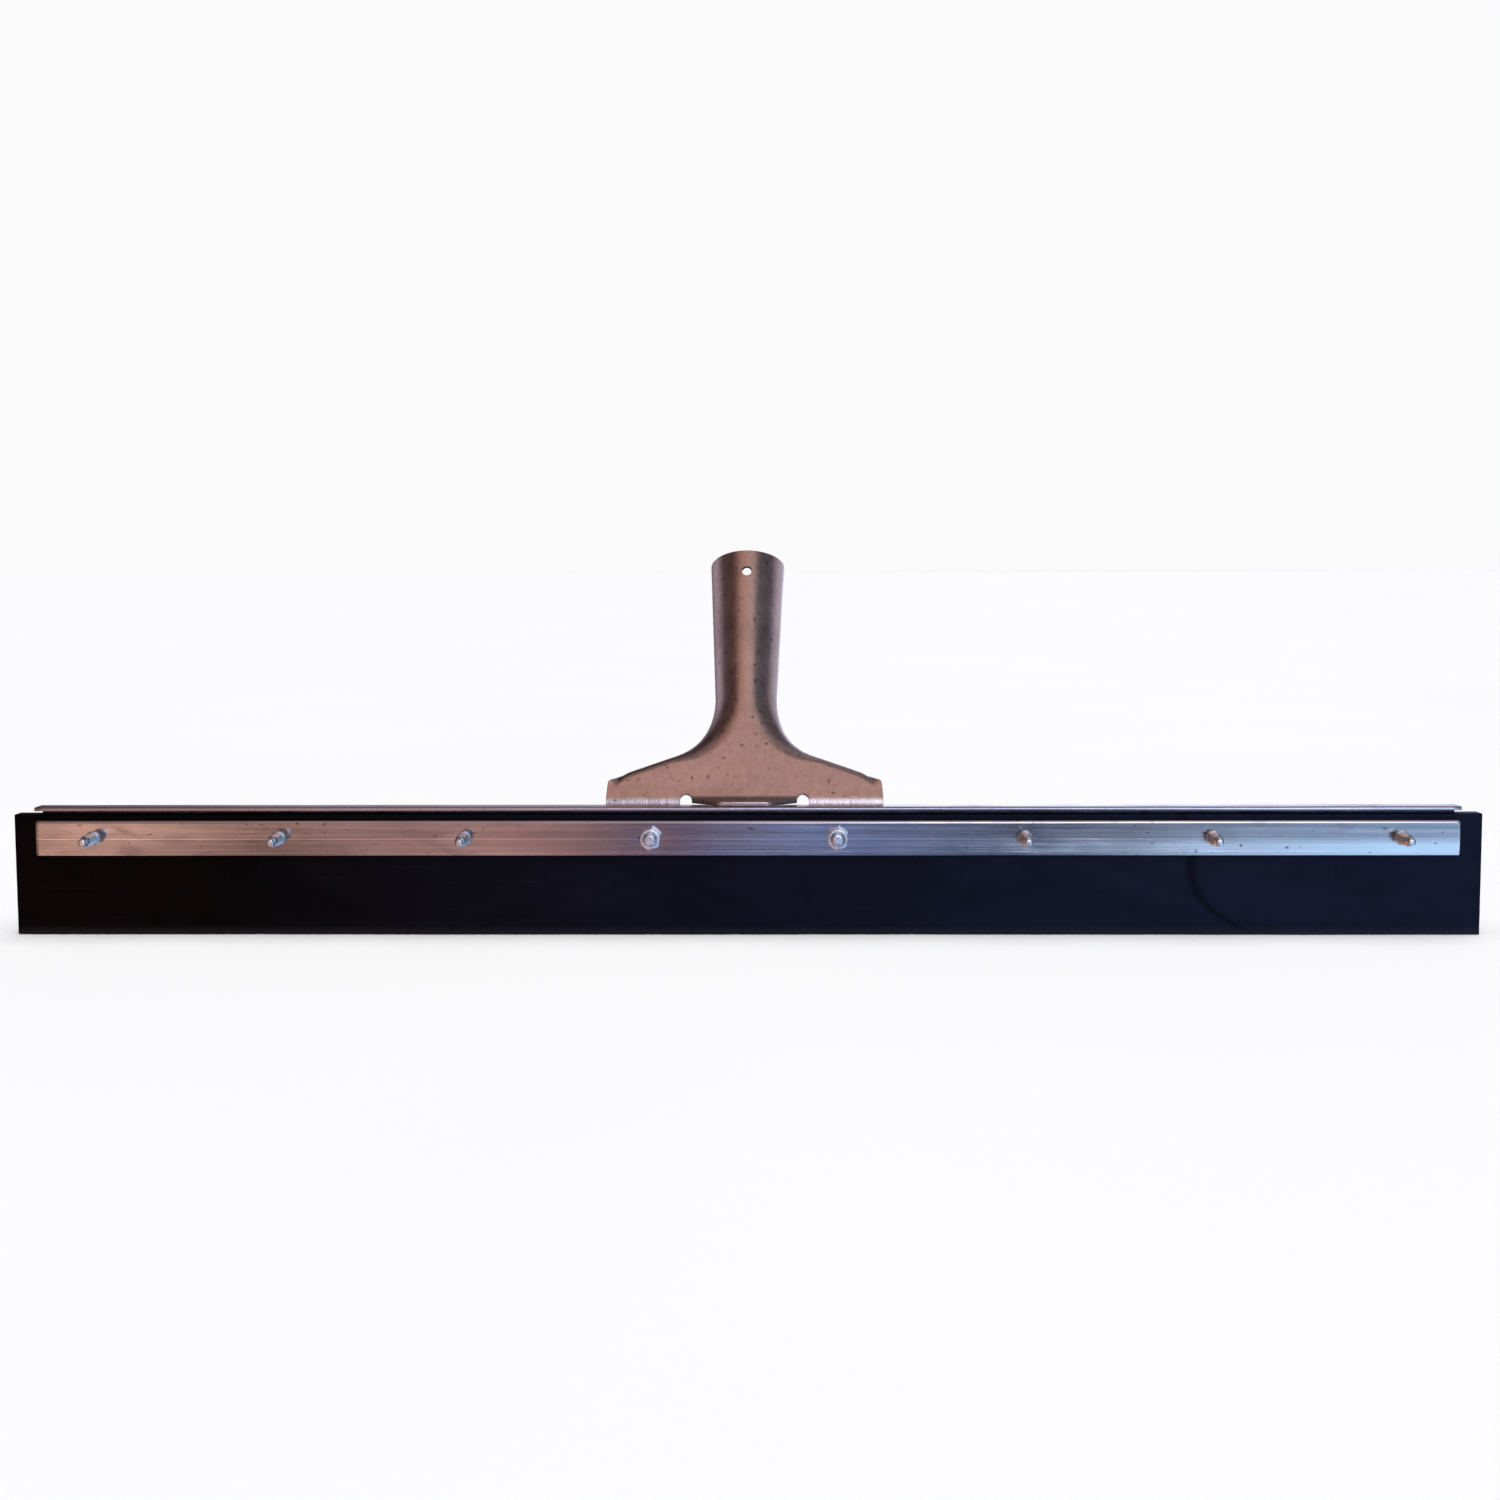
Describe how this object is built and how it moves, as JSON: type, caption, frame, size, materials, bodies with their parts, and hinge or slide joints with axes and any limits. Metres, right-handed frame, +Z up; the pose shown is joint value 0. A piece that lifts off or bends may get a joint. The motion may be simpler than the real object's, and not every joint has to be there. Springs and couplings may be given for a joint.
{
  "type": "floor squeegee head",
  "caption": "Straight floor squeegee head: rubber blade clamped between a folded steel angle and a screwed-on strip, with a pressed steel handle socket leaning back behind it.",
  "frame": {"origin": "middle of the rubber blade's wiping edge, half-way along its length and thickness", "axes": "+X along the blade, +Z up from the wiping edge to the socket, -Y the front with the clamp strip and nuts, +Y the back the socket leans towards"},
  "size_m": [0.6096, 0.1114, 0.1599],
  "materials": {
    "frame_steel": "mill-rolled sheet with a light grain along its length",
    "strip_steel": "satin, rolled edges, faint smudges",
    "socket_steel": "satin pressed sheet, fine speckle",
    "blade_rubber": "matt black moulded rubber with faint scuffs",
    "zinc_steel": "bright zinc plate"
  },
  "bodies": {
    "root": {"frame_angle": "frame_steel", "rubber_blade": "blade_rubber", "clamp_strip": "strip_steel", "handle_socket": "socket_steel", "tapping_screw_1": "zinc_steel", "tapping_screw_2": "zinc_steel", "tapping_screw_3": "zinc_steel", "tapping_screw_4": "zinc_steel", "tapping_screw_5": "zinc_steel", "tapping_screw_6": "zinc_steel", "machine_screw_1": "zinc_steel", "machine_screw_2": "zinc_steel", "hex_nut_1": "zinc_steel", "hex_nut_2": "zinc_steel"}
  },
  "joints": []
}
